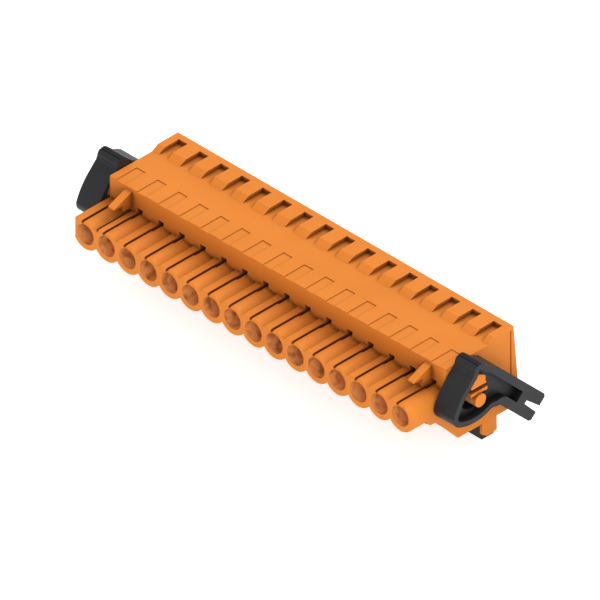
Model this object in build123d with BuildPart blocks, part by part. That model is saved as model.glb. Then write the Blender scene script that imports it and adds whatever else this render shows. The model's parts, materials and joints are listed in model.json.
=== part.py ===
from build123d import *
import os
from math import cos, radians, sin, sqrt

os.makedirs("parts", exist_ok=True)

# A pluggable terminal block: a row of spring-clamp poles with a release lever at each end.
# X runs along the row, +Y is the plugging direction and +Z is up, all in mm.
# The origin is the middle of the mating face, at the height of the contacts' axis.

# The row
poles = 16
pitch = 5.08
row = poles * pitch
half_row = row / 2
pole_xs = [(i - (poles - 1) / 2) * pitch for i in range(poles)]
pole_places = [(x, 0, 0) for x in pole_xs]

# Shared allowances
overrun = 1.0  # how far a cut runs past the face it opens
end_gap = 0.2  # lever to the end wall of the body
running = 0.1  # radial play of a lever on its pivot

# Housing block, seen from the end
body_depth = 17.5  # mating face to the front of the block
top_z = 11.5
bottom_z = -4.45
front_y = -body_depth
cover_depth = 1.77
split_y = -cover_depth
band_rise = 0.85  # raised band along the rear of the top
band_depth = 0.75
band_y = -5.8
ramp_y = -7.3
face_lean = 0.9  # how far the top of the rear leans forward
face_plumb_z = 1.2  # below this the mating face is upright
band_top_z = top_z + band_rise
band_under_z = band_top_z - band_depth
chin_run = 3.14
chin_z = -1.0
chin_setback = 1.0  # between the end walls
end_wall = 0.75

# Row of wire tubes in front of the block
tube_reach = 8.4
tube_y = front_y - tube_reach
wire_z = 4.6
tube_r = 3.1
tube_top_z = 7.1
throat_reach = 4.6
throat_end_z = 2.3
throat_step_y = front_y - 3.5
throat_step_z = 1.5
throat_flat_y = front_y - 2.1
throat_flat_z = 1.34
throat_turn_y = front_y - 0.6
throat_turn_z = 0.35

# Blade guide on top of each tube: a crown over the wire entry between a slit and a valley
crown_r = pitch / 2
crown_drop = 0.05
crown_z = tube_top_z - crown_drop - crown_r
crown_end = 1.3
slit_from = -0.95
slit_to = -0.5
slit_depth = 0.5
valley_low_from = 1.75
valley_low_to = 2.2
valley_end = 2.7
valley_depth = 0.5
first_slit_from = 2.65
port_to = 0.35  # test opening in the block's face at the end of the slit
port_low_z = 6.3
port_high_z = 8.0
scoop_to = -0.2
scoop_len = 2.0

# Wire entry
mouth_r = 1.95
mouth_wall = 4.3
throat_width = 2.7
throat_draft = 3
lip = 0.4  # chamfer between a mouth and the crown over it
lip_from = -0.5
lip_to = 1.2

# Chamber of one pole
chamber_half = 1.95
chamber_front_y = -16.0
chamber_top_z = 9.8
chamber_floor_z = -2.9
chamber_nose_z = 0.6
chamber_nose_y = -12.5

# Recesses on the top face
recess_from = -0.95
front_recess_to = 1.2
front_recess_len = 5.0
front_recess_depth = 0.12
rear_recess_to = 1.07
rear_recess_back_y = -2.3

# Gussets between the block and the tubes
fin_xs = (-35.95, 36.6)
fin_width = 1.5
fin_reach = 4.35
fin_top_drop = 0.62
fin_end_drop = 2.33
fin_nose = 0.25
fin_undercut = 2.2

# Feet under the ends of the body, each a pair of cheeks around a black insert
foot_front_y = -8.65
foot_back_y = -5.0
foot_depth = 3.05
foot_corner_run = 1.2
foot_corner_rise = 0.85
foot_heel_run = 0.9
foot_heel_rise = 0.2
cheek = 0.6
insert_width = 3.4
insert_setback = 0.55
insert_drop = 0.8
insert_short = 0.1

# Snap pivot of a lever
pivot_y = -14.5
pivot_z = 7.1
pivot_r = 3.2
prong_back = 1.1  # how far the prongs reach behind the axis
head_r = 2.85
head_len = 0.9
hook_r = 3.6
hook_lift = 0.1  # play between the hook and the lever's web
hook_from = 0.2
hook_to = 2.4
upper_prong_low = 1.1
blade_low = -0.4
blade_high = 0.25
pin_r = 1.3
pin_y = 0.75
pin_drop = 1.6
pin_proud = 0.45

# Release lever, drawn along its arm: u runs from the pivot along the arm, w across it
arm_angle = 45.0
lever_width = 4.88
lever_inner_x = half_row + end_gap
web_recess = 1.5
web_thick = lever_width - web_recess
bearing_len = end_gap + web_thick - hook_lift
rim = 1.05
arm_top = 5.9
arm_bottom = 0.45
arm_reach = 17.2
arm_corner = 0.9
shoulder_u = -0.1
shoulder_w = 5.6
knob_foot_u = -1.25
knob_foot_w = 5.2
knob_u = -3.3
knob_w = 3.8
knob_r = 1.3
grip_u = -4.0
grip_high_w = 2.2
grip_low_w = -0.5
palm_u = -3.63
palm_w = -3.28
heel_u = -2.69
heel_w = -5.87
heel_tip_u = -1.25
heel_base_u = -0.64
heel_base_w = -6.65
back_flare_u = 1.03
back_flare_w = -5.9
back_u = 4.37
back_w = -2.7
neck_u = 5.29
neck_w = -0.76
neck_end_u = 6.9
pocket_end_u = 10.8
pocket_high_w = 4.35
pocket_low_w = 2.2
pocket_neck_u = 7.3
pocket_bend_u = 6.15
pocket_bend_w = 1.5
pocket_heel_u = 5.3
pocket_heel_w = 0.4
notch_u = 13.1
notch_w = 3.0
notch_high_w = 3.75
notch_low_w = 2.4
notch_root = 0.35
rib_r = 0.2
rib_count = 4
rib_from_angle = 88
rib_span_angle = 90
tooth_r = 0.16
tooth_step = 0.45
tooth_count = 3
tooth_ws = [arm_bottom + arm_corner + i * tooth_step for i in range(tooth_count)]
tooth_ws += [arm_top - arm_corner - i * tooth_step for i in range(tooth_count)]

# Mating face
socket_width = 2.2
socket_height = 2.4
socket_lead = 0.4
seam_width = 0.25
seam_depth = 0.7
key_width = 1.5
key_height = 1.1
key_depth = 1.2

# Contact and clamp spring of one pole
contact_thick = 0.6
contact_width = 2.8
clamp_bar_z = 2.35
riser_y = -9.0
arm_root_z = 1.3
arm_root_y = -7.6
pinch_y = -4.0
pinch_z = 0.8
flare_z = 1.5
spring_thick = 0.4
spring_width = 2.6
spring_front_y = -14.6
spring_back_y = -5.4
spring_turn_y = -4.4
spring_turn_z = 7.9
spring_tip_y = -10.6
spring_tip_z = 2.95


def crown_height(x):
    """Height of the crown's arc at x from the pole's middle."""
    return crown_z + sqrt(crown_r**2 - x**2)


# Square throat behind a wire entry's mouth, which narrows to the chamber
with BuildPart() as throat:
    with BuildSketch(Plane.XZ.offset(-(tube_y + mouth_wall))):
        with Locations((0, wire_z)):
            Rectangle(throat_width, throat_width)
    extrude(amount=tube_y + mouth_wall - chamber_front_y - overrun)
    walls = throat.faces().filter_by(Axis.Y, reverse=True)
    draft(walls, neutral_plane=Plane.XZ.offset(-(tube_y + mouth_wall)), angle=-throat_draft)

# Space of one pole inside the housing, with the marks it leaves on the top face
with BuildPart() as pole_cut:
    # chamber for the contact and its spring, open to the rear
    with BuildSketch(Plane.YZ.offset(-chamber_half)):
        with BuildLine():
            Polyline(
                (chamber_front_y, chamber_top_z),
                (split_y + overrun, chamber_top_z),
                (split_y + overrun, chamber_floor_z),
                (chamber_nose_y, chamber_floor_z),
                (chamber_front_y, chamber_nose_z),
                close=True,
            )
        make_face()
    extrude(amount=2 * chamber_half)
    # wire entry: a round mouth and the throat
    with BuildSketch(Plane.XZ.offset(-(tube_y + mouth_wall))):
        with Locations((0, wire_z)):
            Circle(mouth_r)
    extrude(amount=mouth_wall + overrun)
    add(throat.part)
    # chamfered lip over the mouth
    with BuildSketch(Plane.YZ.offset(lip_from)):
        with BuildLine():
            Polyline(
                (tube_y, crown_height(0) - lip),
                (tube_y + lip + overrun, crown_height(0) + overrun),
                (tube_y, crown_height(0) + overrun),
                close=True,
            )
        make_face()
    extrude(amount=lip_to - lip_from)
    # recesses on the top face
    with BuildSketch(Plane.XY.offset(top_z)):
        with Locations(((recess_from + rear_recess_to) / 2, (ramp_y + rear_recess_back_y) / 2)):
            Rectangle(rear_recess_to - recess_from, rear_recess_back_y - ramp_y)
    extrude(amount=band_rise + overrun)
    with Locations(((recess_from + front_recess_to) / 2, front_y, top_z)):
        Box(front_recess_to - recess_from, 2 * front_recess_len, 2 * front_recess_depth)

# Blade guide: everything above the slit, the crown and the valley
with BuildPart() as guide_cut:
    with BuildSketch(Plane.XZ.offset(-front_y)):
        with BuildLine():
            Polyline(
                (crown_end, crown_height(crown_end)),
                (valley_low_from, tube_top_z - valley_depth),
                (valley_low_to, tube_top_z - valley_depth),
                (valley_end, tube_top_z),
                (valley_end, tube_top_z + overrun),
                (slit_from, tube_top_z + overrun),
                (slit_from, tube_top_z - slit_depth),
                (slit_to, tube_top_z - slit_depth),
                (slit_to, crown_height(slit_to)),
            )
            ThreePointArc(
                (slit_to, crown_height(slit_to)),
                (0, crown_height(0)),
                (crown_end, crown_height(crown_end)),
            )
        make_face()
    extrude(amount=tube_reach + overrun)

# Test opening: the slit's end scoops down into it
with BuildPart() as port_cut:
    with BuildSketch(Plane.YZ.offset(slit_from)):
        with BuildLine():
            Polyline(
                (front_y - scoop_len, tube_top_z - slit_depth),
                (front_y, port_low_z),
                (front_y, tube_top_z),
                (front_y - scoop_len, tube_top_z),
                close=True,
            )
        make_face()
    extrude(amount=scoop_to - slit_from)
    with BuildSketch(Plane.XZ.offset(-(chamber_front_y + overrun))):
        with Locations(((slit_from + port_to) / 2, (port_low_z + port_high_z) / 2)):
            Rectangle(port_to - slit_from, port_high_z - port_low_z)
    extrude(amount=chamber_front_y + overrun - front_y)

# Housing: one moulding with the tubes, gussets, feet and snap pivots
with BuildPart() as housing:
    with BuildSketch(Plane.YZ.offset(-half_row)):
        with BuildLine():
            Polyline(
                (front_y - throat_reach, wire_z),
                (front_y, wire_z),
                (front_y, top_z),
                (ramp_y, top_z),
                (band_y, band_top_z),
                (-face_lean, band_top_z),
                (-face_lean, band_under_z),
                (split_y, band_under_z),
                (split_y, bottom_z),
                (front_y + chin_run, bottom_z),
                (front_y, chin_z),
                (throat_turn_y, throat_turn_z),
                (throat_flat_y, throat_flat_z),
                (throat_step_y, throat_step_z),
                (front_y - throat_reach, throat_end_z),
                close=True,
            )
        make_face()
    extrude(amount=row)
    # the slanting chin sits back between the end walls
    with BuildSketch(Plane.YZ.offset(end_wall - half_row)):
        with BuildLine():
            Polyline(
                (front_y, chin_z),
                (front_y + chin_setback, chin_z),
                (front_y + chin_run + chin_setback, bottom_z),
                (front_y + chin_run, bottom_z - overrun),
                (front_y, bottom_z - overrun),
                close=True,
            )
        make_face()
    extrude(amount=row - 2 * end_wall, mode=Mode.SUBTRACT)
    # the tubes: a flat-topped bar scalloped underneath around each wire entry
    with BuildSketch(Plane.XZ.offset(-front_y)):
        with GridLocations(pitch, 0, poles, 1):
            with Locations((0, wire_z)):
                Circle(tube_r)
        with Locations((0, (tube_top_z + wire_z) / 2)):
            Rectangle(row, tube_top_z - wire_z)
        with Locations((0, tube_top_z + tube_r)):
            Rectangle(row + 2 * tube_r, 2 * tube_r, mode=Mode.SUBTRACT)
        for side in (-1, 1):
            with Locations((side * (half_row + tube_r), wire_z)):
                Rectangle(2 * tube_r, 4 * tube_r, mode=Mode.SUBTRACT)
    extrude(amount=tube_reach)
    for fin_x in fin_xs:
        with BuildSketch(Plane.YZ.offset(fin_x - fin_width / 2)):
            with BuildLine():
                Polyline(
                    (front_y + overrun, top_z - fin_top_drop),
                    (front_y, top_z - fin_top_drop),
                    (front_y - fin_reach, top_z - fin_end_drop),
                    (front_y - fin_reach, top_z - fin_end_drop - fin_nose),
                    (front_y - fin_reach + fin_undercut, top_z - fin_end_drop - fin_nose),
                    (front_y - fin_reach + fin_undercut, tube_top_z - valley_depth),
                    (front_y + overrun, tube_top_z - valley_depth),
                    close=True,
                )
            make_face()
        extrude(amount=fin_width)
    with Locations(pole_places):
        add(pole_cut.part, mode=Mode.SUBTRACT)
    with Locations(pole_places[:-1]):
        add(guide_cut.part, mode=Mode.SUBTRACT)
    with Locations(pole_places[1:]):
        add(port_cut.part, mode=Mode.SUBTRACT)
    # the first tube has a second slit, and the last one rounds over into the end wall
    with BuildSketch(Plane.XZ.offset(-front_y)):
        with Locations((pole_xs[0] + first_slit_from + (slit_to - slit_from) / 2, tube_top_z)):
            Rectangle(slit_to - slit_from, 2 * slit_depth)
    extrude(amount=tube_reach, mode=Mode.SUBTRACT)
    with BuildSketch(Plane.XZ.offset(-front_y)):
        with Locations((pole_xs[-1] + slit_from, crown_z)):
            Rectangle(pitch, crown_r + overrun, align=Align.MIN)
        with Locations((pole_xs[-1], crown_z)):
            Circle(crown_r, mode=Mode.SUBTRACT)
        with Locations((pole_xs[-1] + slit_from, tube_top_z - slit_depth)):
            Rectangle(slit_to - slit_from, slit_depth, align=Align.MIN)
    extrude(amount=tube_reach + overrun, mode=Mode.SUBTRACT)
    # feet
    for side in (-1, 1):
        for inboard in (cheek / 2, cheek + insert_width + cheek / 2):
            with BuildSketch(Plane.YZ.offset(side * (half_row - inboard) - cheek / 2)):
                with BuildLine():
                    Polyline(
                        (foot_front_y, bottom_z),
                        (foot_back_y, bottom_z),
                        (foot_back_y, bottom_z - foot_depth + foot_heel_rise),
                        (foot_back_y - foot_heel_run, bottom_z - foot_depth),
                        (foot_front_y + foot_corner_run, bottom_z - foot_depth),
                        (foot_front_y, bottom_z - foot_depth + foot_corner_rise),
                        close=True,
                    )
                make_face()
            extrude(amount=cheek)
    # snap pivots: a hooked prong, a thin blade and a round pin inside one bearing circle
    for side in (-1, 1):
        end_wall = Plane(origin=(side * half_row, pivot_y, pivot_z), x_dir=(0, 1, 0), z_dir=(1, 0, 0))
        for radius, length in ((pivot_r, bearing_len), (head_r, bearing_len + head_len)):
            with BuildSketch(end_wall):
                Circle(radius)
                with Locations((0, (upper_prong_low + blade_high) / 2)):
                    Rectangle(2 * pivot_r, upper_prong_low - blade_high, mode=Mode.SUBTRACT)
                with Locations((0, blade_low - pivot_r), (-prong_back - pivot_r, 0)):
                    Rectangle(2 * pivot_r, 2 * pivot_r, mode=Mode.SUBTRACT)
            extrude(amount=side * length)
        with BuildSketch(end_wall):
            with Locations((pin_y, -pin_drop)):
                Circle(pin_r)
        extrude(amount=side * (bearing_len + head_len + pin_proud))
        with BuildSketch(end_wall.offset(side * (bearing_len + 2 * hook_lift))):
            Circle(hook_r)
            with Locations(((hook_from + hook_to) / 2, upper_prong_low + hook_r / 2)):
                Rectangle(hook_to - hook_from, hook_r, mode=Mode.INTERSECT)
        extrude(amount=side * (head_len - 2 * hook_lift))

housing.part.label = "housing"
export_step(housing.part, "parts/housing.step")

# Lead-in of a socket in the mating face
with BuildPart() as socket_lead_in:
    Box(socket_width + 2 * socket_lead, 2 * socket_lead, socket_height + 2 * socket_lead)
    chamfer(socket_lead_in.faces().sort_by(Axis.Y)[0].edges(), socket_lead)

# Rear cover: closes the chambers and carries the sockets of the mating face
with BuildPart() as rear_cover:
    with BuildSketch(Plane.YZ.offset(-half_row)):
        with BuildLine():
            Polyline(
                (split_y, bottom_z),
                (split_y, band_under_z),
                (-face_lean, band_under_z),
                (0, face_plumb_z),
                (0, bottom_z),
                close=True,
            )
        make_face()
    extrude(amount=row)
    # shadow gap around the joint with the housing
    for side in (-1, 1):
        with Locations((side * half_row, split_y, (bottom_z + band_under_z) / 2)):
            Box(2 * seam_depth, 2 * seam_width, 2 * (band_under_z - bottom_z), mode=Mode.SUBTRACT)
    # a square socket at each pole, with a lead-in and a coding key slot under it
    with BuildSketch(Plane.XZ):
        with GridLocations(pitch, 0, poles, 1):
            Rectangle(socket_width, socket_height)
    extrude(amount=cover_depth + overrun, mode=Mode.SUBTRACT)
    with Locations([(x, 0, 0) for x in pole_xs]):
        add(socket_lead_in.part, mode=Mode.SUBTRACT)
    with Locations([(x, 0, bottom_z) for x in pole_xs]):
        Box(key_width, 2 * key_depth, 2 * key_height, mode=Mode.SUBTRACT)

rear_cover.part.label = "rear_cover"
export_step(rear_cover.part, "parts/rear_cover.step")

# Contact: a clamping bar, a riser that stands on the chamber floor and two spring arms
with BuildPart() as contact:
    with BuildSketch(Plane.YZ.offset(-contact_width / 2)):
        with BuildLine():
            Polyline(
                (chamber_front_y, clamp_bar_z),
                (riser_y, clamp_bar_z),
                (riser_y, chamber_floor_z),
            )
        trace(line_width=contact_thick)
        for way in (-1, 1):
            with BuildLine():
                Polyline(
                    (riser_y, way * arm_root_z),
                    (arm_root_y, way * arm_root_z),
                    (pinch_y, way * pinch_z),
                    (split_y - contact_thick / 2, way * flare_z),
                )
            trace(line_width=contact_thick)
    extrude(amount=contact_width)

# Clamp spring: a leg against the chamber's ceiling, a bend and a leg down to the bar
with BuildPart() as spring:
    with BuildSketch(Plane.YZ.offset(-spring_width / 2)):
        with BuildLine():
            Polyline(
                (spring_front_y, chamber_top_z - spring_thick / 2),
                (spring_back_y, chamber_top_z - spring_thick / 2),
                (spring_turn_y, spring_turn_z),
                (spring_tip_y, spring_tip_z),
            )
        trace(line_width=spring_thick)
    extrude(amount=spring_width)

for number, x in enumerate(pole_xs, start=1):
    for name, piece in (("contact", contact), ("clamp_spring", spring)):
        with BuildPart() as placed:
            with Locations((x, 0, 0)):
                add(piece.part)
        placed.part.label = f"{name}_{number:02d}"
        export_step(placed.part, f"parts/{name}_{number:02d}.step")

# Black insert between the cheeks of a foot
with BuildPart() as foot_insert:
    with BuildSketch(Plane.YZ.offset(half_row - cheek - insert_width)):
        with BuildLine():
            Polyline(
                (foot_front_y + insert_setback, bottom_z),
                (foot_back_y - insert_short, bottom_z),
                (foot_back_y - insert_short, bottom_z - foot_depth - insert_drop),
                (foot_front_y + insert_setback, bottom_z - foot_depth - insert_drop),
                close=True,
            )
        make_face()
    extrude(amount=insert_width)

# Release lever: a finger grip, a bearing ring and a forked arm with a raised rim
arm = radians(arm_angle)
lever_plane = Plane(
    origin=(lever_inner_x, pivot_y, pivot_z),
    x_dir=(0, cos(arm), -sin(arm)),
    z_dir=(1, 0, 0),
)


def lever_outline(reach, corner):
    """The lever's outline, with an arm that ends at reach in rounded corners."""
    inset = corner * (1 - sqrt(1 / 2))
    slant = knob_r * sqrt(1 / 2)
    with BuildLine() as outline:
        Line((neck_end_u, arm_bottom), (reach - corner, arm_bottom))
        ThreePointArc(
            (reach - corner, arm_bottom),
            (reach - inset, arm_bottom + inset),
            (reach, arm_bottom + corner),
        )
        Line((reach, arm_bottom + corner), (reach, arm_top - corner))
        ThreePointArc(
            (reach, arm_top - corner),
            (reach - inset, arm_top - inset),
            (reach - corner, arm_top),
        )
        Polyline(
            (reach - corner, arm_top),
            (shoulder_u + rim, arm_top),
            (shoulder_u, shoulder_w),
            (knob_foot_u, knob_foot_w),
            (knob_u, knob_w + knob_r),
        )
        ThreePointArc(
            (knob_u, knob_w + knob_r),
            (knob_u - knob_r, knob_w),
            (knob_u - slant, knob_w - slant),
        )
        Polyline((knob_u - slant, knob_w - slant), (grip_u, grip_high_w), (grip_u, grip_low_w))
        ThreePointArc((grip_u, grip_low_w), (palm_u, palm_w), (heel_u, heel_w))
        ThreePointArc((heel_u, heel_w), (heel_tip_u, heel_base_w), (heel_base_u, heel_base_w))
        ThreePointArc((heel_base_u, heel_base_w), (back_flare_u, back_flare_w), (back_u, back_w))
        Polyline((back_u, back_w), (neck_u, neck_w), (neck_end_u, arm_bottom))
    return outline.line


with BuildPart() as lever:
    with BuildSketch(lever_plane):
        add(lever_outline(arm_reach, arm_corner))
        make_face()
    extrude(amount=lever_width)
    # the recessed web inside the rim, narrower along the arm
    with BuildSketch(lever_plane.offset(web_thick)):
        add(lever_outline(pocket_end_u + rim, rim / 2))
        make_face()
        offset(amount=-rim, mode=Mode.REPLACE)
        with Locations((0, pocket_high_w + arm_top / 2)):
            Rectangle(2 * arm_reach, arm_top, mode=Mode.SUBTRACT)
        with BuildLine():
            Polyline(
                (pocket_neck_u, pocket_low_w),
                (arm_reach, pocket_low_w),
                (arm_reach, neck_w),
                (pocket_heel_u, neck_w),
                (pocket_heel_u, pocket_heel_w),
            )
            ThreePointArc(
                (pocket_heel_u, pocket_heel_w),
                (pocket_bend_u, pocket_bend_w),
                (pocket_neck_u, pocket_low_w),
            )
        make_face(mode=Mode.SUBTRACT)
    extrude(amount=web_recess + overrun, mode=Mode.SUBTRACT)
    with BuildSketch(lever_plane):
        Circle(pivot_r + running)
    extrude(amount=web_thick, mode=Mode.SUBTRACT)
    # the fork's notch, the teeth on its tips and the grip ribs across the knob
    with BuildSketch(lever_plane):
        with BuildLine():
            Polyline(
                (notch_u, notch_w - notch_root),
                (notch_u, notch_w + notch_root),
                (arm_reach + overrun, notch_high_w),
                (arm_reach + overrun, notch_low_w),
                close=True,
            )
        make_face()
        with Locations((knob_u, knob_w)):
            with PolarLocations(knob_r, rib_count, rib_from_angle, rib_span_angle):
                RegularPolygon(rib_r, side_count=4)
        with Locations([(arm_reach, w) for w in tooth_ws]):
            RegularPolygon(tooth_r, side_count=4)
    extrude(amount=lever_width, mode=Mode.SUBTRACT)

for name, about, piece in (
    ("lever_right", 0, lever),
    ("lever_left", 1, lever),
    ("foot_insert_right", 0, foot_insert),
    ("foot_insert_left", 1, foot_insert),
):
    with BuildPart() as placed:
        add(piece.part)
        if about:
            mirror(about=Plane.YZ, mode=Mode.REPLACE)
    placed.part.label = name
    export_step(placed.part, f"parts/{name}.step")
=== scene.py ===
"""Looks for a pluggable terminal block with sixteen spring clamps and two release levers.

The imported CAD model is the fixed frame. Its mouldings are shown as copies with softened edges,
its sheet-metal pieces keep their own meshes, and every piece gets a finish made of shader nodes.
"""
import json
import logging
import math
from dataclasses import dataclass
from enum import Enum
from typing import Any, Union

import bmesh
import bpy
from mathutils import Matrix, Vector


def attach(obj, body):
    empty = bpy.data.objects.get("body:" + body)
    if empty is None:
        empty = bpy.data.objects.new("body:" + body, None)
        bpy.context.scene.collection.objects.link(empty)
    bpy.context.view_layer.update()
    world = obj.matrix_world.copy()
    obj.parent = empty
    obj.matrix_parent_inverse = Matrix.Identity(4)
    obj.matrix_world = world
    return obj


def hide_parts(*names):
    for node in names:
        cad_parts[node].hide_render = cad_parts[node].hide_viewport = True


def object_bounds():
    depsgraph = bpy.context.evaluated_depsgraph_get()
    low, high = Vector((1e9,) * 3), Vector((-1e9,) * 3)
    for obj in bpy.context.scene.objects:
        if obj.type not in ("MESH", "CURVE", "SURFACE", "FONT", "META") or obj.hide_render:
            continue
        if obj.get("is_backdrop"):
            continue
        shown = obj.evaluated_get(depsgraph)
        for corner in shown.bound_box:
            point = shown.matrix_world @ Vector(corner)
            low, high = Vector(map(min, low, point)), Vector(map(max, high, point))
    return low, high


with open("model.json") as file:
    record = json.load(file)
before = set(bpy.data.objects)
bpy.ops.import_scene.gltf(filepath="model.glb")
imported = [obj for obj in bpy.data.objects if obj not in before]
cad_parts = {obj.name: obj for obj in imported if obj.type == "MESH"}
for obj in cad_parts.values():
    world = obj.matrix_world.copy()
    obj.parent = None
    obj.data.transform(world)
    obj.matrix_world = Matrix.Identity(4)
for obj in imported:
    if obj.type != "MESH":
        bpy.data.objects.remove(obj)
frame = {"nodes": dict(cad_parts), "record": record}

log = logging.getLogger("terminal_block")

Triple = tuple[float, float, float]
Colour = Triple
Value = Union["Wire", float, Triple]
Mount = dict[str, Any]

MM = 0.001
NOISE_MEAN = 0.5
WHITE: Colour = (1.0, 1.0, 1.0)


class Slot(Enum):
    """The record's material slots."""

    ORANGE = "orange_plastic"
    BLACK = "black_plastic"
    CONTACT = "contact_metal"
    SPRING = "spring_steel"


class Body(Enum):
    """The bodies that move against each other."""

    BLOCK = "body"
    LEFT_LEVER = "left_lever"
    RIGHT_LEVER = "right_lever"


class Wire:
    """A shader socket that takes part in Python arithmetic."""

    def __init__(self, shader: "Shader", socket: bpy.types.NodeSocket) -> None:
        """Keeps the socket and the node tree that it belongs to."""
        self.shader = shader
        self.socket = socket

    def _math(self, operation: str, first: Value, second: Value) -> "Wire":
        """Adds the Math node for one operation.

        Args:
            operation: The Math node's operation.
            first: The upper operand.
            second: The lower operand.

        Returns:
            The node's result.
        """
        return self.shader.node("ShaderNodeMath", {"operation": operation}, {0: first, 1: second})

    def __add__(self, other: Value) -> "Wire":
        """Adds a value to this one."""
        return self._math("ADD", self, other)

    def __radd__(self, other: Value) -> "Wire":
        """Adds this value to another."""
        return self._math("ADD", other, self)

    def __sub__(self, other: Value) -> "Wire":
        """Takes a value from this one."""
        return self._math("SUBTRACT", self, other)

    def __rsub__(self, other: Value) -> "Wire":
        """Takes this value from another."""
        return self._math("SUBTRACT", other, self)

    def __mul__(self, other: Value) -> "Wire":
        """Multiplies this value by another."""
        return self._math("MULTIPLY", self, other)

    def __rmul__(self, other: Value) -> "Wire":
        """Multiplies another value by this one."""
        return self._math("MULTIPLY", other, self)

    def __mod__(self, other: Value) -> "Wire":
        """Takes the remainder of this value, which is never negative."""
        return self._math("FLOORED_MODULO", self, other)

    def __lt__(self, other: Value) -> "Wire":
        """Gives 1 where this value is the smaller and 0 elsewhere."""
        return self._math("LESS_THAN", self, other)


class Shader:
    """The node tree of a material or of the world."""

    openness_samples = 16

    def __init__(self, owner: Union[bpy.types.Material, bpy.types.World]) -> None:
        """Empties the owner's node tree.

        Args:
            owner: The material or world whose tree is built.
        """
        owner.use_nodes = True
        self.tree = owner.node_tree
        self.tree.nodes.clear()

    def add(self, kind: str, settings: dict[str, Any], inputs: dict[Any, Value]) -> bpy.types.Node:
        """Adds one node.

        Args:
            kind: The node's type.
            settings: The node's own settings.
            inputs: Values or links for its sockets, by name or number.

        Returns:
            The new node.
        """
        made = self.tree.nodes.new(kind)
        for name, setting in settings.items():
            setattr(made, name, setting)
        for key, value in inputs.items():
            socket = made.inputs[key]
            if isinstance(value, Wire):
                self.tree.links.new(value.socket, socket)
            elif isinstance(value, tuple) and len(socket.default_value) == 4:
                socket.default_value = (*value, 1.0)
            else:
                socket.default_value = value
        return made

    def node(
        self, kind: str, settings: dict[str, Any], inputs: dict[Any, Value], output: Any = 0
    ) -> Wire:
        """Adds one node and passes on one of its outputs.

        Args:
            kind: The node's type.
            settings: The node's own settings.
            inputs: Values or links for its sockets, by name or number.
            output: The socket that is passed on, by name or number.

        Returns:
            The chosen output.
        """
        return Wire(self, self.add(kind, settings, inputs).outputs[output])

    def noise(self, size: float, detail: float, stretch: Triple = (1.0, 1.0, 1.0)) -> Wire:
        """Adds a noise pattern on the object's own coordinates.

        Args:
            size: The size of one blotch in metres.
            detail: The number of finer layers.
            stretch: How much finer the pattern is along each axis.

        Returns:
            The noise, about 0.5 on average.
        """
        place = self.node("ShaderNodeTexCoord", {}, {}, "Object")
        turned = self.node("ShaderNodeMapping", {}, {"Vector": place, "Scale": stretch})
        return self.node(
            "ShaderNodeTexNoise", {}, {"Vector": turned, "Scale": 1 / size, "Detail": detail}, "Fac"
        )

    def place(self) -> tuple[Wire, Wire, Wire]:
        """Reads the place of a point on the piece.

        Returns:
            Its three object coordinates.
        """
        whole = self.node("ShaderNodeTexCoord", {}, {}, "Object")
        parts = [self.node("ShaderNodeSeparateXYZ", {}, {"Vector": whole}, axis) for axis in "XYZ"]
        return parts[0], parts[1], parts[2]

    def openness(self, reach: float) -> Wire:
        """Measures how open the piece is around a point.

        Args:
            reach: How far a wall of the same piece may stand to count.

        Returns:
            1 on an open face, towards 0 in a deep slit.
        """
        settings = {"samples": self.openness_samples, "only_local": True}
        return self.node("ShaderNodeAmbientOcclusion", settings, {"Distance": reach}, "AO")

    def seen(self) -> Wire:
        """Tells what the camera looks at from what only lights the object.

        Returns:
            1 where the camera looks, also by way of a shiny or a clear surface, and 0 elsewhere.
        """
        kinds = ("Camera", "Glossy", "Transmission")
        camera, glossy, clear = [
            self.node("ShaderNodeLightPath", {}, {}, f"Is {kind} Ray") for kind in kinds
        ]
        return 1.0 - (1.0 - camera) * (1.0 - glossy) * (1.0 - clear)

    def blend(self, factor: Value, first: Value, second: Value) -> Wire:
        """Mixes two colours.

        Args:
            factor: 0 for the first colour, 1 for the second.
            first: The first colour.
            second: The second colour.

        Returns:
            The mixed colour.
        """
        # the Mix node's colour sockets are its seventh and eighth, and its colour result its third
        return self.node(
            "ShaderNodeMix",
            {"data_type": "RGBA", "clamp_factor": True},
            {0: factor, 6: first, 7: second},
            2,
        )


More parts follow.
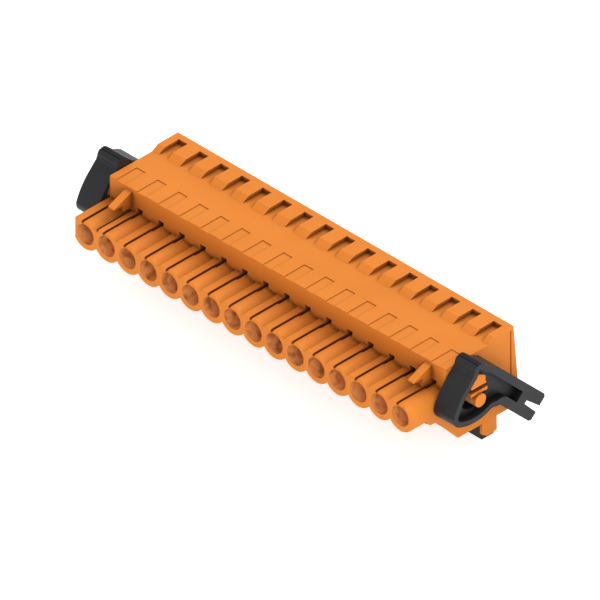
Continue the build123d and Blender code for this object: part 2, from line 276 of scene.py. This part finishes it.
@dataclass(frozen=True)
class MouldedPlastic:
    """Filled polyamide from an eroded mould: fine grain, faint clouding, and shade painted into its
    hollows.
    """

    slot: Slot
    colour: Colour
    clouded: Colour
    painted_hollow_shade: Colour
    roughness: float
    gloss: float
    # reaches of the two ambient occlusion measures that paint shade into corners, slits and recesses
    broad_reach: float = 8 * MM
    fine_reach: float = 1 * MM
    cloud_size: float = 9 * MM
    cloud_contrast: float = 1.6
    cloud_level: float = 1.1
    flow_stretch: Triple = (0.35, 1.0, 2.4)
    grain_size: float = 0.22 * MM
    grain_height: float = 0.012 * MM
    grain_strength: float = 0.35
    grain_share: float = 0.5
    roughness_swing: float = 0.16

    def material(self) -> bpy.types.Material:
        """Builds the node material.

        Returns:
            The material, named for its slot.
        """
        material = bpy.data.materials.new(self.slot.value)
        shader = Shader(material)
        cloud = shader.noise(self.cloud_size, detail=3.0)
        flow = shader.noise(self.cloud_size, detail=2.0, stretch=self.flow_stretch)
        grain = shader.noise(self.grain_size, detail=2.0)
        clouding = self.cloud_contrast * (cloud + flow) - self.cloud_level
        clean = shader.blend(clouding, self.colour, self.clouded)
        colour = self.shaded(shader, clean)
        unevenness = cloud - NOISE_MEAN + self.grain_share * (grain - NOISE_MEAN)
        roughness = self.roughness + self.roughness_swing * unevenness
        bump = shader.node(
            "ShaderNodeBump",
            {},
            {"Strength": self.grain_strength, "Distance": self.grain_height, "Height": grain},
        )
        surface = shader.node(
            "ShaderNodeBsdfPrincipled",
            {},
            {
                "Base Color": colour,
                "Roughness": roughness,
                "Normal": bump,
                "Specular IOR Level": self.gloss,
            },
        )
        shader.add("ShaderNodeOutputMaterial", {}, {"Surface": surface})
        return material

    def shaded(self, shader: Shader, clean: Wire) -> Wire:
        """Paints shade into the clean colour in corners and slits, where the piece's own walls close
        in.

        Args:
            shader: The material's node tree.
            clean: The colour of open faces.

        Returns:
            The colour that shows.
        """
        # painted shade: ambient occlusion blends the colour towards the hollow shade colour in
        # corners and slits
        brightness = shader.openness(self.broad_reach) * shader.openness(self.fine_reach)
        return shader.blend(brightness, self.painted_hollow_shade, clean)


@dataclass(frozen=True)
class HousingPlastic(MouldedPlastic):
    """The orange plastic, with painted light inside the round wire entries: paler, blotched with
    painted shade.
    """

    entries: tuple[Mount, ...] = ()
    # painted light in the shadowed wire entries: a paler colour, and blotches of painted shade and
    # light
    entry_painted_light: Colour = (0.88, 0.62, 0.36)
    entry_painted_light_share: float = 0.25
    entry_painted_shade: Colour = (0.36, 0.13, 0.03)
    painted_blotch_size: float = 1.5 * MM
    painted_blotch_contrast: float = 3.2
    painted_blotch_level: float = 0.75
    entry_depth: float = 12 * MM

    def shaded(self, shader: Shader, clean: Wire) -> Wire:
        """Paints shade into the clean colour in corners and slits, and paints light into the shadowed
        wire entries.

        Args:
            shader: The material's node tree.
            clean: The colour of open faces.

        Returns:
            The colour that shows.
        """
        first, second = self.entries[:2]
        pitch = second["pos_m"][0] - first["pos_m"][0]
        x, y, z = shader.place()
        aside = (x - (first["pos_m"][0] - pitch / 2)) % pitch - pitch / 2
        above = z - first["pos_m"][2]
        round_way = aside * aside + above * above < (first["dims"]["r_mm"] * MM) ** 2
        inside = round_way * (y < first["pos_m"][1] + self.entry_depth)
        # painted light: the entries, which lie in shadow, are painted paler, then blotched with
        # painted shade
        painted_pale = shader.blend(self.entry_painted_light_share, clean, self.entry_painted_light)
        glow = self.painted_blotch_contrast * shader.noise(self.painted_blotch_size, detail=1.0) - self.painted_blotch_level
        entry = shader.blend(glow, self.entry_painted_shade, painted_pale)
        # inside the entries the painted light takes the place of the painted corner shade
        return shader.blend(inside, super().shaded(shader, clean), entry)


@dataclass(frozen=True)
class RolledMetal:
    """Stamped strip metal with fine rolling marks along the plugging direction."""

    slot: Slot
    colour: Colour
    tarnished: Colour
    roughness: float
    mark_size: float = 0.25 * MM
    mark_height: float = 0.006 * MM
    mark_strength: float = 0.4
    mark_stretch: Triple = (1.0, 0.06, 1.0)
    patch_size: float = 3 * MM
    roughness_swing: float = 0.2

    def material(self) -> bpy.types.Material:
        """Builds the node material.

        Returns:
            The material, named for its slot.
        """
        material = bpy.data.materials.new(self.slot.value)
        shader = Shader(material)
        marks = shader.noise(self.mark_size, detail=2.0, stretch=self.mark_stretch)
        patches = shader.noise(self.patch_size, detail=3.0)
        bump = shader.node(
            "ShaderNodeBump",
            {},
            {"Strength": self.mark_strength, "Distance": self.mark_height, "Height": marks},
        )
        surface = shader.node(
            "ShaderNodeBsdfPrincipled",
            {},
            {
                "Base Color": shader.blend(patches, self.colour, self.tarnished),
                "Metallic": 1.0,
                "Roughness": self.roughness + self.roughness_swing * (marks - NOISE_MEAN),
                "Normal": bump,
            },
        )
        shader.add("ShaderNodeOutputMaterial", {}, {"Surface": surface})
        return material


ORANGE_POLYAMIDE = HousingPlastic(
    Slot.ORANGE,
    colour=(0.89, 0.27, 0.034),
    clouded=(0.83, 0.245, 0.029),
    # painted shade: the colour of corners, slits and recesses where ambient occlusion closes in
    painted_hollow_shade=(0.05, 0.011, 0.002),
    roughness=0.55,
    gloss=0.2,
    entries=tuple(mount for mount in frame["record"]["mounts"] if mount["kind"] == "bore"),
)
BLACK_POLYAMIDE = MouldedPlastic(
    Slot.BLACK,
    colour=(0.021, 0.021, 0.023),
    clouded=(0.015, 0.016, 0.018),
    # painted shade: the colour of corners and slits where ambient occlusion closes in
    painted_hollow_shade=(0.003, 0.003, 0.003),
    roughness=0.45,
    gloss=0.22,
)
TINNED_COPPER = RolledMetal(
    Slot.CONTACT, colour=(0.72, 0.69, 0.62), tarnished=(0.60, 0.56, 0.48), roughness=0.3
)
SPRING_STEEL = RolledMetal(
    Slot.SPRING, colour=(0.62, 0.62, 0.63), tarnished=(0.50, 0.50, 0.52), roughness=0.26
)


class Wardrobe:
    """The finishes, each made once and shared by the pieces of its slot."""

    def __init__(self, *finishes: Union[MouldedPlastic, RolledMetal]) -> None:
        """Builds a material for each finish.

        Args:
            finishes: The finishes that the pieces wear.
        """
        self.materials = {finish.slot: finish.material() for finish in finishes}

    def dress(self, piece: bpy.types.Object, slot: Slot) -> None:
        """Gives a piece its one finish.

        Args:
            piece: The object to dress.
            slot: The finish's slot.
        """
        piece.data.materials.clear()
        piece.data.materials.append(self.materials[slot])


@dataclass
class Moulding:
    """A moulded piece, shown as a copy of its CAD node with softened edges.

    Outer edges that turn by more than rounded_from are rounded, and edges that turn by more than
    crease_from stay crisp. The rounding is edge wide, or less where room_share of the shortest
    sharp edge beside it is less. Diagonals of faces flatter than flat_below are laid anew first.
    """

    node: str
    body: Body
    slot: Slot
    edge: float = 0.12 * MM
    segments: int = 2
    rounded_from: float = math.radians(32)
    crease_from: float = math.radians(11)
    corner_from: float = math.radians(35)
    flat_below: float = math.radians(0.05)
    room_share: float = 0.35
    weld: float = 0.0005 * MM

    def build(self, wardrobe: Wardrobe) -> bpy.types.Object:
        """Builds and dresses the piece.

        Args:
            wardrobe: The finishes.

        Returns:
            The finished object.
        """
        piece = self.copy_of_node()
        self.soften(piece)
        wardrobe.dress(piece, self.slot)
        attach(piece, self.body.value)
        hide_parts(self.node)
        log.info("%s: %d faces before its edges are softened", piece.name, len(piece.data.polygons))
        return piece

    def copy_of_node(self) -> bpy.types.Object:
        """Copies the CAD node's triangles, joined at their edges.

        Returns:
            The new object, in the place of the node.
        """
        mesh = bpy.data.meshes.new(f"{self.node}_moulding")
        shape = bmesh.new()
        shape.from_mesh(frame["nodes"][self.node].data)
        bmesh.ops.remove_doubles(shape, verts=shape.verts, dist=self.weld)
        flat = [edge for edge in shape.edges if edge.calc_face_angle() < self.flat_below]
        bmesh.ops.beautify_fill(shape, faces=shape.faces, edges=flat, method="ANGLE")
        self.grade_edges(shape)
        shape.to_mesh(mesh)
        shape.free()
        piece = bpy.data.objects.new(mesh.name, mesh)
        bpy.context.collection.objects.link(piece)
        return piece

    def grade_edges(self, shape: bmesh.types.BMesh) -> None:
        """Marks creases, and how far each run of sharp outer edges may be rounded.

        A run keeps one width, because two widths on edges that are almost in line tear the faces.

        Args:
            shape: The joined mesh.
        """
        rounding = shape.edges.layers.float.new("bevel_weight_edge")
        sharp = {edge for edge in shape.edges if edge.calc_face_angle() > self.rounded_from}
        for edge in shape.edges:
            edge.smooth = edge.calc_face_angle() < self.crease_from
        for run in self.runs({edge for edge in sharp if edge.is_convex}):
            ends = {end for edge in run for end in edge.verts}
            room = min(near.calc_length() for end in ends for near in end.link_edges if near in sharp)
            for edge in run:
                edge[rounding] = min(1.0, self.room_share * room / self.edge)

    def runs(self, edges: set[bmesh.types.BMEdge]) -> list[list[bmesh.types.BMEdge]]:
        """Sorts edges into runs that turn no corner.

        Args:
            edges: The edges to sort.

        Returns:
            The runs, which hold each edge once.
        """
        found = []
        waiting = set(edges)
        while waiting:
            run = [waiting.pop()]
            for edge in run:
                beside = [near for end in edge.verts for near in end.link_edges if near in waiting]
                onward = [near for near in beside if self.turn(edge, near) < self.corner_from]
                waiting.difference_update(onward)
                run.extend(onward)
            found.append(run)
        return found

    @staticmethod
    def turn(edge: bmesh.types.BMEdge, near: bmesh.types.BMEdge) -> float:
        """Measures how far the outline turns from one edge to the next.

        Args:
            edge: The first edge.
            near: Another edge that shares an end with it.

        Returns:
            An angle, 0 for edges in line.
        """
        shared = next(end for end in edge.verts if end in near.verts)
        arriving = shared.co - edge.other_vert(shared).co
        return arriving.angle(near.other_vert(shared).co - shared.co)

    def soften(self, piece: bpy.types.Object) -> None:
        """Rounds the sharp edges a little, as a mould leaves them.

        Args:
            piece: The object to soften.
        """
        rounding = piece.modifiers.new("softened_edges", "BEVEL")
        rounding.width = self.edge
        rounding.segments = self.segments
        rounding.limit_method = "WEIGHT"
        rounding.use_clamp_overlap = False
        rounding.harden_normals = True


@dataclass
class LeverMoulding(Moulding):
    """A release lever, whose broad faces meet in softer edges."""

    slot: Slot = Slot.BLACK
    edge: float = 0.2 * MM
    segments: int = 3
    room_share: float = 0.15


@dataclass
class StripMetal:
    """The contacts and clamp springs, which keep their CAD meshes."""

    slot: Slot

    def build(self, wardrobe: Wardrobe) -> None:
        """Dresses every CAD node of this slot.

        Args:
            wardrobe: The finishes.
        """
        pieces = frame["record"]["subparts"]
        nodes = [piece["node"] for piece in pieces if piece["material_slot"] == self.slot.value]
        for node in nodes:
            wardrobe.dress(frame["nodes"][node], self.slot)
        log.info("%s: %d pieces", self.slot.value, len(nodes))


@dataclass(frozen=True)
class Softbox:
    """A broad far lamp, as a sun with a wide disc."""

    name: str
    power: float
    spread: float
    stands: Triple

    def build(self) -> None:
        """Hangs the lamp so that it shines from its side onto the origin."""
        light = bpy.data.lights.new(self.name, "SUN")
        light.energy = self.power
        light.angle = self.spread
        lamp = bpy.data.objects.new(self.name, light)
        lamp.rotation_mode = "QUATERNION"
        lamp.rotation_quaternion = Vector(self.stands).to_track_quat("Z", "Y")
        bpy.context.collection.objects.link(lamp)


@dataclass
class Studio:
    """A pale floor, soft light from above and a camera along the photograph's line of sight."""

    azimuth: float = math.radians(45.0)
    elevation: float = math.radians(35.26)
    pixels_per_mm: float = 5.843
    frame_pixels: int = 600
    aim: Triple = (-0.5 * MM, -11.55 * MM, 2.5 * MM)
    distance: float = 0.5
    view_depth: float = 10.0
    floor_size: float = 6.0
    floor_white: float = 0.82
    floor_lift: float = 0.68
    sky_light: float = 0.55
    softboxes: tuple[Softbox, ...] = (
        Softbox("key", power=1.28, spread=math.radians(50), stands=(0.25, 0.75, 0.80)),
        Softbox("fill", power=1.5, spread=math.radians(60), stands=(0.60, -0.52, 0.30)),
    )

    def build(self) -> None:
        """Builds the floor, the sky, the lamps and the camera."""
        self.build_floor()
        self.build_sky()
        for softbox in self.softboxes:
            softbox.build()
        self.build_camera()
        log.info("studio ready")

    def build_floor(self) -> None:
        """Lays a white floor under the lowest point, which keeps the object's shadow."""
        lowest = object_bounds()[0].z
        mesh = bpy.data.meshes.new("floor")
        shape = bmesh.new()
        bmesh.ops.create_grid(shape, x_segments=1, y_segments=1, size=self.floor_size / 2)
        bmesh.ops.translate(shape, verts=shape.verts, vec=(0, 0, lowest))
        shape.to_mesh(mesh)
        shape.free()
        floor = bpy.data.objects.new("floor", mesh)
        bpy.context.collection.objects.link(floor)
        material = bpy.data.materials.new("floor_white")
        shader = Shader(material)
        white = (self.floor_white,) * 3
        matt = shader.node("ShaderNodeBsdfDiffuse", {}, {"Color": white})
        lift = self.floor_lift * shader.seen()
        glow = shader.node("ShaderNodeEmission", {}, {"Color": WHITE, "Strength": lift})
        surface = shader.node("ShaderNodeAddShader", {}, {0: matt, 1: glow})
        shader.add("ShaderNodeOutputMaterial", {}, {"Surface": surface})
        mesh.materials.append(material)
        floor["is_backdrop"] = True

    def build_sky(self) -> None:
        """Makes the surroundings white where they are seen, and softer as a light."""
        world = bpy.data.worlds.new("sky")
        bpy.context.scene.world = world
        shader = Shader(world)
        dim = shader.node("ShaderNodeBackground", {}, {"Color": WHITE, "Strength": self.sky_light})
        full = shader.node("ShaderNodeBackground", {}, {"Color": WHITE, "Strength": 1.0})
        surface = shader.node("ShaderNodeMixShader", {}, {0: shader.seen(), 1: dim, 2: full})
        shader.add("ShaderNodeOutputWorld", {}, {"Surface": surface})

    def build_camera(self) -> None:
        """Sets the parallel-projection camera that frames the object as the photograph does."""
        data = bpy.data.cameras.new("camera")
        data.type = "ORTHO"
        data.ortho_scale = self.frame_pixels / self.pixels_per_mm * MM
        data.clip_end = self.view_depth
        camera = bpy.data.objects.new("camera", data)
        back = Vector(
            (
                math.cos(self.elevation) * math.sin(self.azimuth),
                -math.cos(self.elevation) * math.cos(self.azimuth),
                math.sin(self.elevation),
            )
        )
        camera.location = Vector(self.aim) + back * self.distance
        camera.rotation_euler = back.to_track_quat("Z", "Y").to_euler()
        bpy.context.collection.objects.link(camera)
        bpy.context.scene.camera = camera
        bpy.context.scene.view_settings.view_transform = "Standard"


def main() -> None:
    """Builds every piece, then the studio around them."""
    logging.basicConfig(level=logging.INFO, format="%(name)s: %(message)s")
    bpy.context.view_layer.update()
    wardrobe = Wardrobe(ORANGE_POLYAMIDE, BLACK_POLYAMIDE, TINNED_COPPER, SPRING_STEEL)
    mouldings = (
        Moulding("housing", Body.BLOCK, Slot.ORANGE),
        Moulding("rear_cover", Body.BLOCK, Slot.ORANGE),
        Moulding("foot_insert_left", Body.BLOCK, Slot.BLACK),
        Moulding("foot_insert_right", Body.BLOCK, Slot.BLACK),
        LeverMoulding("lever_left", Body.LEFT_LEVER),
        LeverMoulding("lever_right", Body.RIGHT_LEVER),
    )
    for moulding in mouldings:
        moulding.build(wardrobe)
    for slot in (Slot.CONTACT, Slot.SPRING):
        StripMetal(slot).build(wardrobe)
    Studio().build()


if __name__ == "__main__":
    main()
